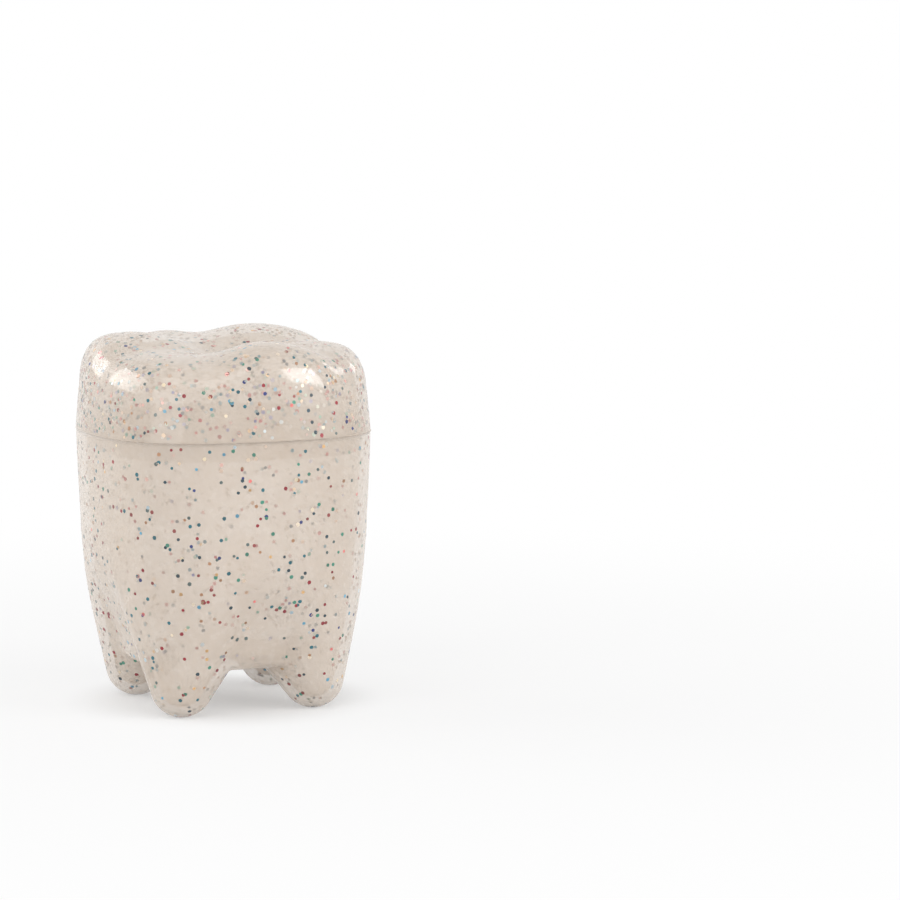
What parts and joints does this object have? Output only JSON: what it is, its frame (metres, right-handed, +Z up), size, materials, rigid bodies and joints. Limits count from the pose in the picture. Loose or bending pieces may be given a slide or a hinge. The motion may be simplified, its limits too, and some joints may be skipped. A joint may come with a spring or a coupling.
{
  "type": "baby tooth box",
  "caption": "Tooth-shaped keepsake box of translucent glitter plastic: a hollow cup on stub roots, with a cusped lid, a plug lip and a living-hinge strap.",
  "frame": {"origin": "middle of the whole outline, at the height that the root tips stand on", "axes": "+Z up, +Y towards the hinge strap at the back, -Y towards the front, +X to the right as seen from the front"},
  "size_m": [0.0276, 0.0292, 0.0373],
  "materials": {
    "cup_plastic": "milky translucent moulded plastic with coloured glitter",
    "lid_plastic": "milky translucent moulded plastic with coloured glitter",
    "strap_plastic": "thin translucent web with no glitter",
    "glitter": "small coloured foil flakes inside the plastic"
  },
  "bodies": {
    "cup": {"tooth_body": "cup_plastic", "strap_cup_leaf": "strap_plastic"},
    "lid": {"lid_cap": "lid_plastic", "lid_plug_lip": "lid_plastic", "strap_cap_leaf": "strap_plastic"}
  },
  "joints": [
    {"name": "lid_hinge", "type": "hinge", "parent": "cup", "child": "lid", "pos_m": [0, 0.0146, 0.0274], "axis": [-1, 0, 0], "range_deg": [0, 180]}
  ]
}
